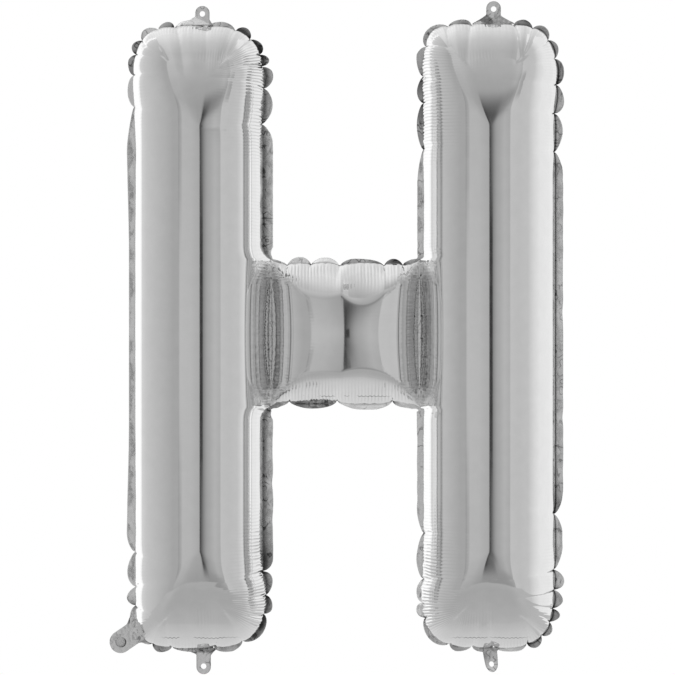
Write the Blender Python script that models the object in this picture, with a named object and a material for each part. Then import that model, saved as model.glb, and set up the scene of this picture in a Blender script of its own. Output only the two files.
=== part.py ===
"""Silver foil balloon in the shape of a capital H, blown up and hanging free.

Two sheets of film, one in front and one behind, are heat-sealed together along
their outline and along two short upright welds where the crossbar meets the legs.
The letter stands in the XZ plane, its front faces -Y, and its middle is the origin.
Real film is 0.05 mm thick. The walls here are thicker, so that they are solids.
"""
import math

import bmesh
import bpy
from mathutils import Matrix, Vector

# Driving dimensions, in metres
LEG_AXIS_X = 0.213
LEG_RADIUS = 0.0945
SEAM_HALF_HEIGHT = 0.4525
LEG_END_LENGTH = 0.150
SWELL_HEIGHT = 0.385
SWELL_LENGTH = 0.048
LEG_LEAN = 0.046
BAR_HALF_HEIGHT = 0.102
BAR_HALF_DEPTH = 0.068
BAR_RISE = 0.0068
BAR_RISE_FROM = 0.14
BAR_RISE_TO = 0.28
BAR_SIDE_POWER = 2.0
BAR_SAG = 0.20
BAR_EAVES = 0.48
BAR_ROOF_POWER = 1.4
INNER_CORNER_RADIUS = 0.026
RIGHT_SEAM_X = 0.112
RIGHT_CORNER_RISE = 0.006
WELD_X = 0.108
WELD_HALF_LENGTH = 0.081
WELD_HALF_WIDTH = 0.004
PASSAGE_HALF_DEPTH = 0.007
FILM_WALL = 0.002
CLEARANCE = 0.0003

BORDER_WIDTH = 0.0095
BORDER_NOTCH = 0.0050
BORDER_NOTCH_HALF = 0.009
BORDER_THICKNESS = 0.0008

TAB_WIDTH = 0.021
TAB_FLARE_WIDTH = 0.042
TAB_FLARE_RISE = 0.012
TAB_HOLE_RADIUS = 0.004
TAB_HOLE_FROM_TIP = 0.0115
TAB_THICKNESS = 0.0008

TAIL_WIDTH = 0.032
TAIL_END_X = -0.3254
TAIL_END_Z = -0.4408
TAIL_SLOPE = math.radians(34.5)
TAIL_LENGTH = 0.046
TAIL_THICKNESS = 0.0012
FILL_HOLE_RADIUS = 0.0068
VALVE_FILM_MARGIN = 0.005
VALVE_FILM_THICKNESS = 0.0006

# Each leg's corners, by side and end, outer then inner: how square across and along, how much it
# swells near the end, and how long the end is
LEG_CORNERS = {
    (-1.0, 1.0): ((4.0, 6.0, 0.038, 0.1505), (3.4, 4.8, 0.050, 0.1505)),
    (-1.0, -1.0): ((3.6, 5.2, 0.0, 0.148), (3.5, 5.0, 0.080, 0.148)),
    (1.0, 1.0): ((4.0, 6.0, 0.055, 0.1540), (5.0, 8.0, 0.018, 0.1540)),
    (1.0, -1.0): ((3.4, 4.8, 0.010, 0.1475), (3.7, 5.4, 0.035, 0.1475)),
}

# Each tab's middle across the letter, and how far its tip reaches past the seam
TABS = {
    "tab_top_left": (-0.2060, 1.0, 0.0290),
    "tab_top_right": (0.2146, 1.0, 0.0360),
    "tab_bottom_left": (-0.2052, -1.0, 0.0350),
    "tab_bottom_right": (0.2103, -1.0, 0.0320),
}

# Where the sealed border is gathered into a notch, as (x, z)
GATHERS = [
    (-0.307, 0.431), (-0.307, 0.381), (-0.307, 0.335),
    (-0.307, -0.310), (-0.307, -0.361),
    (-0.291, 0.440), (-0.247, 0.452), (-0.157, 0.452), (-0.130, 0.440),
    (-0.118, 0.394), (-0.118, 0.360), (-0.118, 0.309),
    (-0.118, -0.338), (-0.118, -0.373), (-0.118, -0.400),
    (-0.251, -0.452), (-0.150, -0.450),
    (0.118, 0.422), (0.118, 0.379), (0.118, 0.341), (0.118, 0.273),
    (0.118, -0.283), (0.118, -0.350), (0.118, -0.384), (0.118, -0.405),
    (0.150, 0.450), (0.184, 0.452), (0.243, 0.452), (0.272, 0.450), (0.301, 0.430),
    (0.307, 0.406), (0.307, 0.367), (0.307, 0.325), (0.307, 0.270),
    (0.307, -0.255), (0.307, -0.336), (0.307, -0.365), (0.307, -0.393),
    (0.155, -0.450), (0.180, -0.452), (0.266, -0.452), (0.290, -0.440),
    (-0.049, 0.109), (-0.007, 0.109), (0.057, 0.109),
    (-0.081, -0.095), (-0.012, -0.095), (0.068, -0.095),
]

LEG_COLUMNS = 14
BAR_COLUMNS = 12
WELD_ROWS = 4
PASSAGE_ROWS = 4
CORNER_ROWS = 3
STRAIGHT_ROWS = 6
END_ROWS = 10
SEAM_SAMPLES = 2000
CLOSEST_STOPS = 0.0015

# Values that follow from the driving dimensions
STRAIGHT_HALF = SEAM_HALF_HEIGHT - LEG_END_LENGTH
INNER_SEAM_X = LEG_AXIS_X - LEG_RADIUS
FILLET_X = INNER_SEAM_X - INNER_CORNER_RADIUS
FILLET_Z = BAR_HALF_HEIGHT + INNER_CORNER_RADIUS
PINCH_TOP = FILLET_Z - math.sqrt(INNER_CORNER_RADIUS ** 2 - (WELD_X - FILLET_X) ** 2)


def clear_scene():
    for obj in list(bpy.data.objects):
        bpy.data.objects.remove(obj, do_unlink=True)


def new_collection(name):
    collection = bpy.data.collections.new(name)
    bpy.context.scene.collection.children.link(collection)
    return collection


def film_material(name, shade, roughness):
    material = bpy.data.materials.new(name)
    material.use_nodes = True
    shader = material.node_tree.nodes["Principled BSDF"]
    shader.inputs["Base Color"].default_value = (shade, shade, shade, 1.0)
    shader.inputs["Metallic"].default_value = 1.0
    shader.inputs["Roughness"].default_value = roughness
    return material


def add_object(name, bm, collection, material):
    mesh = bpy.data.meshes.new(name)
    bm.to_mesh(mesh)
    bm.free()
    obj = bpy.data.objects.new(name, mesh)
    collection.objects.link(obj)
    if material is not None:
        mesh.materials.append(material)
    return obj


def raised(z):
    """Heights moved up with the crossbar, which sits a little above the letter's middle."""
    t = (abs(z) - BAR_RISE_FROM) / (BAR_RISE_TO - BAR_RISE_FROM)
    t = min(1.0, max(0.0, t))
    return z + BAR_RISE * (1.0 - t * t * (3.0 - 2.0 * t))


def weld_half_width(z):
    """Half the width of the fused strip in a junction weld, at height z."""
    reach = min(1.0, abs(z) / WELD_HALF_LENGTH)
    return WELD_HALF_WIDTH * (1.0 - reach ** 2)


def passage_depth(z):
    """Half the depth of the gas passage between a weld's tip and the seam."""
    middle = 0.5 * (WELD_HALF_LENGTH + PINCH_TOP)
    half = 0.5 * (PINCH_TOP - WELD_HALF_LENGTH)
    reach = (abs(z) - middle) / half
    return PASSAGE_HALF_DEPTH * math.sqrt(max(0.0, 1.0 - reach ** 2))


def inner_edge_x(side, z):
    """How far a leg's inner edge lies from the letter's middle, at height z."""
    height = abs(z)
    if height <= PINCH_TOP:
        return WELD_X + weld_half_width(z)
    if side > 0.0:
        left = max(0.0, 1.0 - (height - PINCH_TOP) / RIGHT_CORNER_RISE)
        return RIGHT_SEAM_X - (RIGHT_SEAM_X - WELD_X) * left ** 2
    if height >= FILLET_Z:
        return INNER_SEAM_X
    rise = FILLET_Z - height
    return FILLET_X + math.sqrt(INNER_CORNER_RADIUS ** 2 - rise ** 2)


def bar_seam_z(x):
    """Height of the crossbar's seam, which curves up into the legs' inner edges."""
    run = abs(x) - FILLET_X
    if run <= 0.0:
        return BAR_HALF_HEIGHT
    return FILLET_Z - math.sqrt(INNER_CORNER_RADIUS ** 2 - run ** 2)


def corner_pull(across, end, side_power, end_power):
    """How far a point of a square is drawn in, so that the leg's corners come out round."""
    low = 0.5
    high = 1.0
    for _ in range(40):
        middle = (low + high) / 2
        if (across * middle) ** side_power + (end * middle) ** end_power > 1.0:
            high = middle
        else:
            low = middle
    return low


def leg_point(side, across, along):
    """Front film of a leg. across runs from -1, outside, to 1, beside the bar."""
    corners = LEG_CORNERS[side, math.copysign(1.0, along)]
    side_power, end_power, swell, end_length = corners[1 if across > 0.0 else 0]
    end = max(0.0, (abs(along) - STRAIGHT_HALF) / LEG_END_LENGTH)
    largest = max(abs(across), end)
    p = across
    z = along
    if end > 0.0:
        pull = corner_pull(abs(across) / largest, end / largest, side_power, end_power)
        p = across * pull
        z = math.copysign(STRAIGHT_HALF + end * pull * end_length, along)
    half_width = LEG_RADIUS
    if across > 0.0:
        half_width = LEG_AXIS_X - inner_edge_x(side, z)
    half_width *= 1.0 + swell * math.exp(-((abs(z) - SWELL_HEIGHT) / SWELL_LENGTH) ** 2)
    depth = LEG_RADIUS * math.sqrt(max(0.0, 1.0 - largest ** 2))
    beside = max(0.0, p) ** 8
    lean = LEG_LEAN * depth * (1.0 - beside)
    depth = math.hypot(depth, passage_depth(z) * beside)
    x = side * (LEG_AXIS_X - p * half_width - lean)
    return Vector((x, -depth - CLEARANCE / 2, raised(z)))


def bar_point(across, up):
    """Front film of the crossbar. across and up run from -1 to 1."""
    edge = WELD_X - weld_half_width(up * PINCH_TOP)
    x = across * edge
    z = up * bar_seam_z(x if abs(across) < 1.0 else WELD_X)
    roof = max(0.0, (abs(up) - BAR_EAVES) / (1.0 - BAR_EAVES))
    seam = 1.0 - BAR_SAG * up ** 2 - (1.0 - BAR_SAG) * roof ** BAR_ROOF_POWER
    depth = BAR_HALF_DEPTH * math.sqrt(max(0.0, 1.0 - abs(across) ** BAR_SIDE_POWER)) * max(0.0, seam)
    depth = math.hypot(depth, passage_depth(up * PINCH_TOP) * abs(across) ** 8)
    return Vector((x, -depth - CLEARANCE / 2, raised(z)))


def bar_rows():
    """Row heights over the crossbar, as fractions of the pinch line's half height."""
    tip = WELD_HALF_LENGTH / PINCH_TOP
    upper = [tip * k / WELD_ROWS for k in range(1, WELD_ROWS + 1)]
    for k in range(1, PASSAGE_ROWS + 1):
        upper.append(tip + (1.0 - tip) * math.sin(math.pi / 2 * k / PASSAGE_ROWS))
    return [-row for row in reversed(upper)] + [0.0] + upper


def leg_rows():
    """Row heights over a whole leg, with the crossbar's rows in their middle."""
    above = []
    for k in range(1, CORNER_ROWS + 1):
        above.append(PINCH_TOP + (FILLET_Z - PINCH_TOP) * k / CORNER_ROWS)
    for k in range(1, STRAIGHT_ROWS + 1):
        above.append(FILLET_Z + (STRAIGHT_HALF - FILLET_Z) * k / STRAIGHT_ROWS)
    for k in range(1, END_ROWS + 1):
        above.append(STRAIGHT_HALF + LEG_END_LENGTH * math.sin(math.pi / 2 * k / END_ROWS))
    below = [-row for row in reversed(above)]
    return below + [row * PINCH_TOP for row in bar_rows()] + above


def columns(count):
    """Column places from -1 to 1, spaced evenly around a half circle."""
    return [math.sin(math.pi * (k / count - 0.5)) for k in range(count + 1)]


def add_grid(bm, column_places, row_places, place):
    """A flat grid of quads, each vertex moved to place(column, row)."""
    wide = len(column_places) - 1
    high = len(row_places) - 1
    made = bmesh.ops.create_grid(bm, x_segments=wide, y_segments=high, size=0.5)
    for vertex in made["verts"]:
        column = round((vertex.co.x + 0.5) * wide)
        row = round((vertex.co.y + 0.5) * high)
        vertex.co = place(column_places[column], row_places[row])


def front_film():
    """The front film's outside as an open sheet, with its edge at the seam."""
    bm = bmesh.new()
    leg_columns = columns(LEG_COLUMNS)
    add_grid(bm, leg_columns, leg_rows(), lambda c, r: leg_point(-1.0, c, r))
    add_grid(bm, columns(BAR_COLUMNS), bar_rows(), bar_point)
    backwards = [-place for place in reversed(leg_columns)]
    add_grid(bm, backwards, leg_rows(), lambda c, r: leg_point(1.0, -c, r))
    bmesh.ops.remove_doubles(bm, verts=bm.verts, dist=0.00001)
    return bm


def make_panel(name, collection, material, mirrored):
    """One film panel: the open sheet given its wall inwards."""
    bm = front_film()
    bmesh.ops.solidify(bm, geom=bm.faces[:], thickness=FILM_WALL)
    for vertex in bm.verts:
        vertex.co.y = min(vertex.co.y, -CLEARANCE / 2)
    if mirrored:
        bmesh.ops.transform(bm, matrix=Matrix.Scale(-1.0, 4, (0.0, 1.0, 0.0)), verts=bm.verts)
    bmesh.ops.recalc_face_normals(bm, faces=bm.faces)
    panel = add_object(name, bm, collection, material)
    panel.data.shade_smooth()
    return panel


def edge_loops(bm):
    """The film sheet's edge loops as lists of points, the longest first."""
    loops = []
    left = {edge for edge in bm.edges if edge.is_boundary}
    while left:
        edge = left.pop()
        start = edge.verts[0]
        vertex = edge.verts[1]
        loop = [start.co.copy(), vertex.co.copy()]
        while vertex is not start:
            edge = next(other for other in vertex.link_edges if other in left)
            left.discard(edge)
            vertex = edge.other_vert(vertex)
            loop.append(vertex.co.copy())
        loops.append(loop[:-1])
    return sorted(loops, key=len, reverse=True)


def outward(loop, index):
    """Direction in the letter's plane that leaves the loop's area at one point."""
    before = loop[index - 1]
    after = loop[(index + 1) % len(loop)]
    run = Vector((after.x - before.x, 0.0, after.z - before.z)).normalized()
    turn = sum(a.x * b.z - b.x * a.z for a, b in zip(loop, loop[1:] + loop[:1]))
    sign = 1.0 if turn > 0.0 else -1.0
    return Vector((run.z, 0.0, -run.x)) * sign


def plate(name, loop, holes, thickness, collection, material):
    """A flat plate in the XZ plane from a filled 2D curve, closed as a mesh."""
    curve = bpy.data.curves.new(name, "CURVE")
    curve.dimensions = "2D"
    curve.fill_mode = "BOTH"
    curve.extrude = thickness / 2
    for points in [loop] + holes:
        spline = curve.splines.new("POLY")
        spline.points.add(len(points) - 1)
        for point, place in zip(spline.points, points):
            point.co = (place[0], place[1], 0.0, 1.0)
        spline.use_cyclic_u = True
    flat = bpy.data.objects.new(name, curve)
    bpy.context.scene.collection.objects.link(flat)
    graph = bpy.context.evaluated_depsgraph_get()
    mesh = bpy.data.meshes.new_from_object(flat.evaluated_get(graph))
    bpy.data.objects.remove(flat, do_unlink=True)
    bm = bmesh.new()
    bm.from_mesh(mesh)
    bmesh.ops.remove_doubles(bm, verts=bm.verts, dist=0.000001)
    bmesh.ops.transform(bm, matrix=Matrix.Rotation(math.pi / 2, 4, "X"), verts=bm.verts)
    bmesh.ops.recalc_face_normals(bm, faces=bm.faces)
    bpy.data.meshes.remove(mesh)
    return add_object(name, bm, collection, material)


def ring(middle_x, middle_z, radius, count):
    """Points around a circle in the letter's plane."""
    turn = 2.0 * math.pi / count
    return [(middle_x + radius * math.cos(turn * k), middle_z + radius * math.sin(turn * k))
            for k in range(count)]


def tab_outline(middle_x, way, reach):
    """Outline of a hanging tab, from its flared root to its round tip."""
    half = TAB_WIDTH / 2
    tip = SEAM_HALF_HEIGHT + reach - TAB_WIDTH / 2
    root = SEAM_HALF_HEIGHT - BORDER_WIDTH
    flare = TAB_FLARE_WIDTH / 2
    neck = SEAM_HALF_HEIGHT + TAB_FLARE_RISE
    side = [(flare, root), (flare, SEAM_HALF_HEIGHT + TAB_FLARE_RISE / 4), (half, neck)]
    cap = [(half * math.cos(math.pi * k / 12), tip + half * math.sin(math.pi * k / 12))
           for k in range(13)]
    other = [(-x, z) for x, z in reversed(side)]
    return [(middle_x + x, way * z) for x, z in side + cap + other]


def tail_outline():
    """Outline of the inflation tail, a strip with one round end."""
    along = Vector((-math.cos(TAIL_SLOPE), -math.sin(TAIL_SLOPE)))
    aside = Vector((along.y, -along.x))
    end = Vector((TAIL_END_X, TAIL_END_Z))
    half = TAIL_WIDTH / 2
    root = end - along * TAIL_LENGTH
    cap = []
    for k in range(17):
        turn = math.pi * (k / 16 - 0.5)
        cap.append(end + along * half * math.cos(turn) + aside * half * math.sin(turn))
    points = [root - aside * half] + cap + [root + aside * half]
    return [(point.x, point.y) for point in points]


def cut(target, cutter):
    """Boolean difference, applied so that the target is one plain mesh."""
    boolean = target.modifiers.new("cut", "BOOLEAN")
    boolean.operation = "DIFFERENCE"
    boolean.solver = "EXACT"
    boolean.object = cutter
    graph = bpy.context.evaluated_depsgraph_get()
    mesh = bpy.data.meshes.new_from_object(target.evaluated_get(graph))
    target.modifiers.clear()
    target.data = mesh


def runs_along(loop):
    """How far each point of a loop lies along it from the first one."""
    runs = [0.0]
    for before, after in zip(loop, loop[1:]):
        runs.append(runs[-1] + (after - before).length)
    return runs


def place_at(loop, runs, run):
    """The point of a loop that lies a given way along it."""
    index = max(k for k in range(len(runs)) if runs[k] <= run)
    start = loop[index]
    end = loop[(index + 1) % len(loop)]
    return start + (end - start) * ((run - runs[index]) / (end - start).length)


def notched(loop):
    """The loop with points added round each gather, and how deep its border's notch is."""
    runs = runs_along(loop)
    length = runs[-1] + (loop[0] - loop[-1]).length
    samples = [length * k / SEAM_SAMPLES for k in range(SEAM_SAMPLES)]
    places = [place_at(loop, runs, run) for run in samples]
    gathers = []
    for x, z in GATHERS:
        wanted = Vector((x, 0.0, z))
        nearest = min(range(SEAM_SAMPLES), key=lambda k: (places[k] - wanted).length)
        gathers.append(samples[nearest])
    stops = list(runs)
    for gather in gathers:
        for step in (-1.0, -0.4, 0.0, 0.4, 1.0):
            stops.append((gather + step * BORDER_NOTCH_HALF) % length)
    points = []
    notches = []
    last = -1.0
    for run in sorted(stops):
        if run - last < CLOSEST_STOPS or length - run < CLOSEST_STOPS:
            continue
        last = run
        gap = min(min(abs(run - gather), length - abs(run - gather)) for gather in gathers)
        points.append(place_at(loop, runs, run))
        notches.append(BORDER_NOTCH * max(0.0, 1.0 - gap / BORDER_NOTCH_HALF))
    return points, notches


def make_border(seam, collection, material):
    """The sealed margin outside the seam, notched where the film is gathered."""
    loop, notches = notched(seam)
    bm = bmesh.new()
    inner = [bm.verts.new((x, 0.0, z)) for x, z in grown(loop, CLEARANCE)]
    edges = [bm.edges.new((inner[k - 1], inner[k])) for k in range(len(inner))]
    bm.verts.index_update()
    made = bmesh.ops.extrude_edge_only(bm, edges=edges)
    fresh = {item for item in made["geom"] if isinstance(item, bmesh.types.BMVert)}
    for index, vertex in enumerate(inner):
        outer = next(edge.other_vert(vertex) for edge in vertex.link_edges
                     if edge.other_vert(vertex) in fresh and len(edge.link_faces) == 2)
        outer.co = vertex.co + outward(loop, index) * (BORDER_WIDTH - notches[index])
    bmesh.ops.translate(bm, vec=(0.0, -BORDER_THICKNESS / 2, 0.0), verts=bm.verts)
    raised = bmesh.ops.extrude_face_region(bm, geom=bm.faces[:], use_keep_orig=True)
    lifted = [item for item in raised["geom"] if isinstance(item, bmesh.types.BMVert)]
    bmesh.ops.translate(bm, vec=(0.0, BORDER_THICKNESS, 0.0), verts=lifted)
    bmesh.ops.recalc_face_normals(bm, faces=bm.faces)
    add_object("seam_border", bm, collection, material)


def grown(loop, growth):
    """The loop's points in the letter's plane, moved outwards by growth."""
    moved = []
    for index, point in enumerate(loop):
        place = point + outward(loop, index) * growth
        moved.append((place.x, place.z))
    return moved


def make_cutter(name, outline, collection):
    """A deep prism that cuts an outline out of a plate."""
    cutter = plate(name, outline, [], 0.02, collection, None)
    cutter.hide_render = True
    cutter.display_type = "WIRE"
    return cutter


def build():
    clear_scene()
    parts = new_collection("letter_foil_balloon")
    cutters = new_collection("cutters")
    bright = film_material("bright_foil", 0.80, 0.12)
    sealed = film_material("sealed_foil", 0.62, 0.30)
    clear_film = film_material("valve_film", 0.70, 0.40)

    make_panel("front_panel", parts, bright, False)
    make_panel("back_panel", parts, bright, True)

    sheet = front_film()
    loops = edge_loops(sheet)
    sheet.free()
    seam = loops[0]
    for loop in loops[1:]:
        side = "left" if loop[0].x < 0.0 else "right"
        plate("junction_weld_" + side, grown(loop, -CLEARANCE), [], BORDER_THICKNESS, parts, sealed)

    make_border(seam, parts, sealed)
    seam_cutter = make_cutter("seam_cutter", grown(seam, CLEARANCE), cutters)
    for name, (middle_x, way, reach) in TABS.items():
        hole_z = way * (SEAM_HALF_HEIGHT + reach - TAB_HOLE_FROM_TIP)
        hole = ring(middle_x, hole_z, TAB_HOLE_RADIUS, 16)
        tab = plate(name, tab_outline(middle_x, way, reach), [hole], TAB_THICKNESS, parts, sealed)
        cut(tab, seam_cutter)
        tab.location.y = (BORDER_THICKNESS + TAB_THICKNESS) / 2 + CLEARANCE

    hole = ring(TAIL_END_X, TAIL_END_Z, FILL_HOLE_RADIUS, 24)
    tail = plate("inflation_tail", tail_outline(), [hole], TAIL_THICKNESS, parts, sealed)
    cut(tail, seam_cutter)
    tail.location.y = -(BORDER_THICKNESS + TAIL_THICKNESS) / 2 - CLEARANCE

    valve = ring(TAIL_END_X, TAIL_END_Z, FILL_HOLE_RADIUS + VALVE_FILM_MARGIN, 24)
    film = plate("valve_film", valve, [], VALVE_FILM_THICKNESS, parts, clear_film)
    film.location.y = tail.location.y + (TAIL_THICKNESS + VALVE_FILM_THICKNESS) / 2 + CLEARANCE


build()
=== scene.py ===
"""Looks of a silver foil balloon in the shape of a capital H, blown up and hanging free.

The letter stands in the XZ plane with its front towards -Y. Its film is three closed
skins, two legs and a crossbar, which meet in upright pinch lines. A flat sealed border
runs round the outline, and punched tabs and an inflation tail stand out from it.
"""

import math

import bmesh
import bpy
import numpy as np
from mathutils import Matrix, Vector, kdtree, noise


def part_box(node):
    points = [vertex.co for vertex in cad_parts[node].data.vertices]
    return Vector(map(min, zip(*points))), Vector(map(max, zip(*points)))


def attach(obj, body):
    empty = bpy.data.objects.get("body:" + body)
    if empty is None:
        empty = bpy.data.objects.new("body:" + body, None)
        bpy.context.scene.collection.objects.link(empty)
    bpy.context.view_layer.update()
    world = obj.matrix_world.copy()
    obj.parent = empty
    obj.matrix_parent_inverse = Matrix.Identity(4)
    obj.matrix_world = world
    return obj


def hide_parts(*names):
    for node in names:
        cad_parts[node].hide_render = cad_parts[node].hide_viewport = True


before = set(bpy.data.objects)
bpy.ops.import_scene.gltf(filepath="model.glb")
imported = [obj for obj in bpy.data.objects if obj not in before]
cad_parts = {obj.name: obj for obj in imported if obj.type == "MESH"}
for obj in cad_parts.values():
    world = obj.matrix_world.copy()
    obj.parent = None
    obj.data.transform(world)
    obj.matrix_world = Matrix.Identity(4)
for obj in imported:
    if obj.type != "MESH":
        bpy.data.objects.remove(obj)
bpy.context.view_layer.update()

# The letter's sizes, in metres, as in the frame
LEG_AXIS_X = 0.213
LEG_RADIUS = 0.0945
LEG_OUTER_RADII = {-1.0: 0.0932, 1.0: 0.092}
SEAM_HALF_HEIGHT = 0.4525
LEG_END_LENGTH = 0.15
LEG_LEAN = 0.046
PLAIN_LEG_Z = 0.25
BAR_HALF_HEIGHT = 0.102
BAR_HALF_DEPTH = 0.068
BAR_SIDE_POWER = 2.0
BAR_FLATTER = 1.4
BAR_SAG = 0.2
BAR_ROOF_POWER = 1.7
INNER_CORNER_RADIUS = 0.026
BAR_RISE = 0.0068
RIGHT_SEAM_X = 0.112
RIGHT_CORNER_RISE = 0.006
WELD_X = 0.108
WELD_HALF_LENGTH = 0.081
WELD_HALF_WIDTH = 0.0026
WELD_GROOVE = 0.006
WELD_SLANT = 0.26
WELD_RIB_PITCH = 0.0034
WELD_RIB_HEIGHT = 0.00016
PASSAGE_HALF_DEPTH = 0.007
BORDER_TUCK = 0.0015
FILM_THICKNESS = 0.00025

STRAIGHT_HALF = SEAM_HALF_HEIGHT - LEG_END_LENGTH
INNER_SEAM_X = LEG_AXIS_X - LEG_RADIUS
FILLET_X = INNER_SEAM_X - INNER_CORNER_RADIUS
FILLET_Z = BAR_HALF_HEIGHT + INNER_CORNER_RADIUS
PINCH_TOP = FILLET_Z - math.sqrt(INNER_CORNER_RADIUS ** 2 - (WELD_X - FILLET_X) ** 2)

# Each leg's corners, by side and end, outer then inner: how square across and along, how much
# it swells near the end, and how long the end is
LEG_CORNERS = {
    (-1.0, 1.0): ((4.0, 6.0, 0.038, 0.1505), (3.4, 4.8, 0.05, 0.1505)),
    (-1.0, -1.0): ((4.6, 6.6, 0.0, 0.148), (3.5, 5.0, 0.08, 0.148)),
    (1.0, 1.0): ((4.0, 6.0, 0.055, 0.154), (5.0, 8.0, 0.018, 0.154)),
    (1.0, -1.0): ((3.4, 4.8, 0.01, 0.1475), (3.7, 5.4, 0.035, 0.1475)),
}
SWELL_HEIGHT = 0.385
SWELL_LENGTH = 0.048

# How far up and down the crossbar its flat middle ends, and its lobes: the middle and half
# width of each, and how far the flat part dips there at the top and at the bottom
BAR_EAVES = 0.54
BAR_LOBES = ((-0.031, 0.026, 0.05, 0.01), (0.0255, 0.0305, 0.16, 0.06))

TAB_WIDTH = 0.021
TAB_HOLE_RADIUS = 0.004
TAB_HOLE_FROM_TIP = 0.0115
TAB_ROOT = -0.0015
TAB_SLANT = 0.16

# Hanging tabs: middle, way up, seam height, left and right flare and neck, lean and twist
# towards the tip, the fold across the root (rise, slope, vee), its tilt (slope, from), and
# the painted shade of the root, left and right
TABS = {
    "tab_top_left": (
        -0.2069, 1.0, 0.453, (0.022, 0.006), (0.015, 0.009), 0.0, 0.0,
        (0.0082, -0.62, 0.0), (0.8, 0.0075), (-0.3, -0.2)),
    "tab_top_right": (
        0.2155, 1.0, 0.4565, (0.02, 0.019), (0.013, 0.0115), 0.0, 0.0,
        (0.0036, 0.0, 1.0), (0.25, 0.005), (0.4, 0.1)),
    "tab_bottom_left": (
        -0.205, -1.0, 0.4505, (0.023, 0.009), (0.009, 0.01), 0.0, 0.0,
        (0.006, 0.0, 0.0), (0.12, 0.004), (0.35, 0.32)),
    "tab_bottom_right": (
        0.2095, -1.0, 0.45, (0.006, 0.005), (0.004, 0.004), 0.0045, 0.75,
        (0.002, 0.2, 0.3), (0.3, 0.003), (0.2, 0.2)),
}

TAIL_WIDTH = 0.032
TAIL_END = (-0.3254, -0.4408)
TAIL_SLOPE = math.radians(34.5)
TAIL_LENGTH = 0.046
TAIL_ROOT = 0.012
TAIL_FLARE = 0.007
TAIL_Y = -0.0013
FILL_HOLE_RADIUS = 0.0068
VALVE_RADIUS = 0.0118
VALVE_Y = -0.0002

# Gathers in the seam, in millimetres: x, z, how deep each pulls the film in, and how far over
# it the fold runs
LEFT_LEG_GATHERS = [
    (-293, 430, 2.2, 50), (-306, 412, 2.2, 50), (-307, 381, 2.6, 60), (-307, 335, 2, 50),
    (-307, -310, 2.2, 50), (-307, -361, 2.8, 55), (-307, -388, 2.4, 50), (-272.5, 452, 1.6, 30),
    (-247, 452, 3, 60), (-202, 452, 2.2, 55), (-157, 452, 2.6, 60), (-130, 440, 2.6, 60),
    (-119, 413, 2.2, 60), (-118, 394, 4.2, 85), (-118, 361, 2.8, 85), (-118, 310, 2.8, 85),
    (-118, -338, 3.4, 80), (-118, -373, 3, 80), (-118, -400, 2.6, 70), (-280, -445, 2.4, 50),
    (-251, -452, 2.6, 60), (-190, -452, 3, 60), (-144, -448, 2.8, 60),
]
RIGHT_LEG_GATHERS = [
    (118, 422, 3, 60), (118, 379, 2.8, 55), (118, 341, 2.2, 50), (118, 273, 2, 50),
    (118, -283, 2.4, 50), (118, -350, 3.4, 75), (118, -384, 2.8, 60), (118, -405, 2.6, 60),
    (150, 448, 2.8, 60), (184, 452, 3, 65), (243, 452, 3, 70), (272, 450, 2.8, 65),
    (301, 436, 2.6, 55), (307, 406, 2.8, 60), (307, 367, 3.2, 75), (307, 325, 2.6, 70),
    (307, 270, 1.8, 50), (307, -255, 2.4, 70), (307, -336, 3, 85), (307, -365, 3, 80),
    (307, -393, 2.6, 60), (306, -415, 2.4, 50), (150, -448, 2.6, 60), (184, -452, 3, 70),
    (216, -452, 3.2, 80), (266, -452, 2.8, 60), (295, -442, 2.4, 55),
]
BAR_GATHERS = [
    (-84, 109, 3, 35), (-49, 109, 2.4, 35), (-7, 109, 3.6, 45), (57, 109, 3.4, 45),
    (84, 109, 2.6, 35), (-81, -95, 3, 35), (-12, -95, 3.6, 45), (68, -95, 3.4, 45),
]

# How the film puckers at its gathers: pillows between them, a fold at each, and scallops
# further in on the ends of the legs. Between them it has small mixed puckers.
GATHER_SKEW = 0.16
PILLOW = 1.35
PILLOW_HALF = 0.026
PILLOW_LAP = 0.005
PILLOW_REACH = 0.75
FOLD = 0.2
FOLD_WIDTH = 0.0018
FOLD_SPREAD = 0.05
SCALLOP = 0.36
SCALLOP_FROM_Z = 0.425
SCALLOP_REACH = 0.086
SCALLOP_LENGTH = 0.022
PUCKERS = 7
PUCKER_PITCHES = (0.008, 0.02)
PUCKER_HEIGHT = 0.00009
PUCKER_REACH = 0.045
RIB_PITCH = 0.0048
RIB_HEIGHT = 0.00017

# Petals of the border that stand out from their neighbours: x and z in millimetres, how much
# painted shade each gets, painted light where it is below 0, and a steep tip where it is light
PETALS = [
    (-223, 455, -0.2, 0.95), (-180, 455, 0.1, 0), (-262, 454, 0.35, 0), (-143, 447, 0.3, 0),
    (-125, 426, 0.5, 0), (-118, 403, 0.28, 0), (-118, 378, 0.12, 0), (-118, 335, 0.05, 0),
    (-118, -356, 0.1, 0), (-118, -387, 0.18, 0), (-130, -425, 0.35, 0), (-300, 425, 0.45, 0),
    (-307, 397, 0.4, 0), (134, 436, 0.25, 0), (167, 450, 0.35, 0), (257, 452, 0.4, 0),
    (304, 420, 0.3, 0), (307, 387, 0.35, 0), (307, 346, 0.1, 0), (118, 360, 0.6, 0),
    (118, 307, 0.5, 0), (118, -367, -0.2, 0.8), (118, -395, -0.2, 0.8), (167, -450, 0.3, 0),
    (280, -447, 0.35, 0), (307, -404, 0.4, 0), (307, -379, 0.2, 0), (-67, 109, -0.2, 0.7),
    (-28, 109, -0.2, 0.95), (25, 109, 0.35, 0), (70, 109, 0.75, 0), (-46, -95, 0.4, 0),
    (28, -95, -0.2, 0.8),
]
PETAL_DOME = 0.036
PETAL_STEPS = 8

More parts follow.
